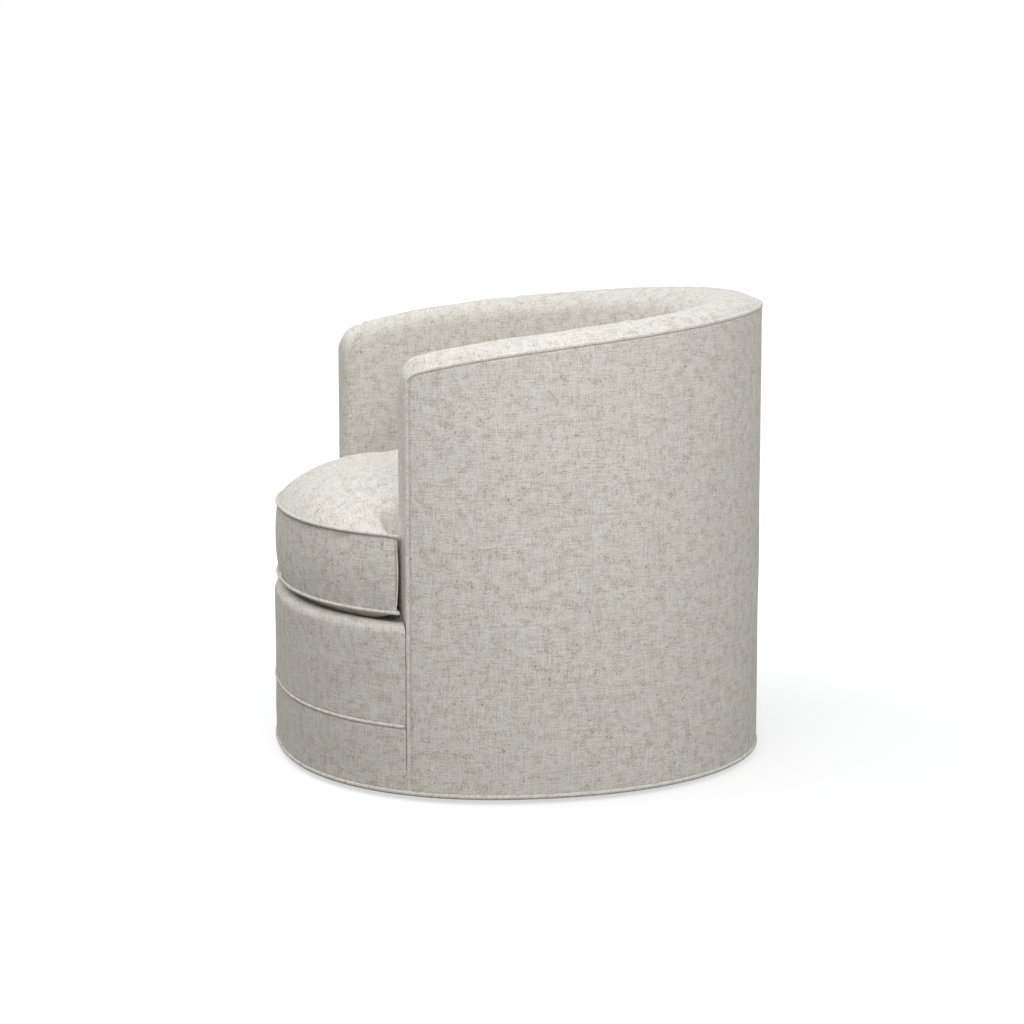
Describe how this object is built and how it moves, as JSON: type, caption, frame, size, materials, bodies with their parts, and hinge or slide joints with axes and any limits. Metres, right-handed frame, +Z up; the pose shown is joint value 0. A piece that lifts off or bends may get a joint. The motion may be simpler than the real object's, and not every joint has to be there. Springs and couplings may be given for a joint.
{
  "type": "swivel barrel chair",
  "caption": "Upholstered barrel chair with a rounded wraparound back, sloping arms, a loose crowned T-shaped seat cushion and a hidden swivel base under a round welted skirt.",
  "frame": {"origin": "on the floor under the middle of the body's plan, on the swivel's axis", "axes": "+Z up, -Y towards the chair's front (the way the sitter faces), +X towards the sitter's left"},
  "size_m": [0.842, 0.7896, 0.7334],
  "materials": {
    "fabric": "matte",
    "foam": "matte",
    "felt": "matte",
    "zipper_tape": "matte",
    "zipper_metal": "satin",
    "plywood": "matte",
    "hardwood": "matte",
    "steel": "satin",
    "spring_wire": "satin",
    "nylon": "matte"
  },
  "bodies": {
    "base": {"base_disc": "plywood", "floor_glide_1": "nylon", "floor_glide_2": "nylon", "floor_glide_3": "nylon", "floor_glide_4": "nylon", "floor_glide_5": "nylon", "lower_swivel_plate": "steel", "lower_plate_bolt_1": "steel", "lower_plate_bolt_2": "steel", "lower_plate_bolt_3": "steel", "lower_plate_bolt_4": "steel", "king_pin": "steel"},
    "ball_cage": {"ball_cage": "steel"},
    "seat": {"upper_swivel_plate": "steel", "upper_plate_bolt_1": "steel", "upper_plate_bolt_2": "steel", "upper_plate_bolt_3": "steel", "upper_plate_bolt_4": "steel", "bottom_board": "plywood", "board_stiffener_left": "hardwood", "board_stiffener_right": "hardwood", "arm_front_post_left": "hardwood", "arm_front_post_right": "hardwood", "arm_middle_post_left": "hardwood", "arm_middle_post_right": "hardwood", "back_post_left": "hardwood", "back_post_right": "hardwood", "arm_top_rail_left": "hardwood", "arm_top_rail_right": "hardwood", "back_top_rail": "hardwood", "side_seat_rail_left": "hardwood", "side_seat_rail_right": "hardwood", "rear_seat_rail": "hardwood", "front_seat_rail": "plywood", "seat_spring_1": "spring_wire", "seat_spring_2": "spring_wire", "seat_spring_3": "spring_wire", "seat_spring_4": "spring_wire", "seat_spring_5": "spring_wire", "front_spring_clips": "steel", "rear_spring_clips": "steel", "deck_cover": "fabric", "deck_pad": "felt", "inner_cover": "fabric", "inner_foam": "foam", "outer_panel": "fabric", "rim_welt": "fabric", "front_panel": "fabric", "front_band": "fabric", "front_mid_welt": "fabric", "base_welt": "fabric"},
    "cushion": {"cushion_cover": "fabric", "cushion_filling": "foam", "cushion_top_welt": "fabric", "cushion_bottom_welt": "fabric", "cushion_zipper": "zipper_tape"},
    "zip_slider": {"zip_slider": "zipper_metal"}
  },
  "joints": [
    {"name": "seat_swivel", "type": "hinge", "parent": "base", "child": "seat", "pos_m": [0, 0, 0.034], "axis": [0, 0, 1], "continuous": true},
    {"name": "ball_cage_spin", "type": "hinge", "parent": "base", "child": "ball_cage", "pos_m": [0, 0, 0.037], "axis": [0, 0, 1], "continuous": true},
    {"name": "cushion_lift", "type": "slide", "parent": "seat", "child": "cushion", "axis": [0, 0, 1], "range_m": [0, 0.5]},
    {"name": "zip_slider_run", "type": "hinge", "parent": "cushion", "child": "zip_slider", "pos_m": [0, -0.1047, 0.3418], "axis": [0, 0, 1], "range_deg": [0, 35]}
  ],
  "couplings": [
    {"joint": "ball_cage_spin", "follows": "seat_swivel", "ratio": 0.5}
  ]
}
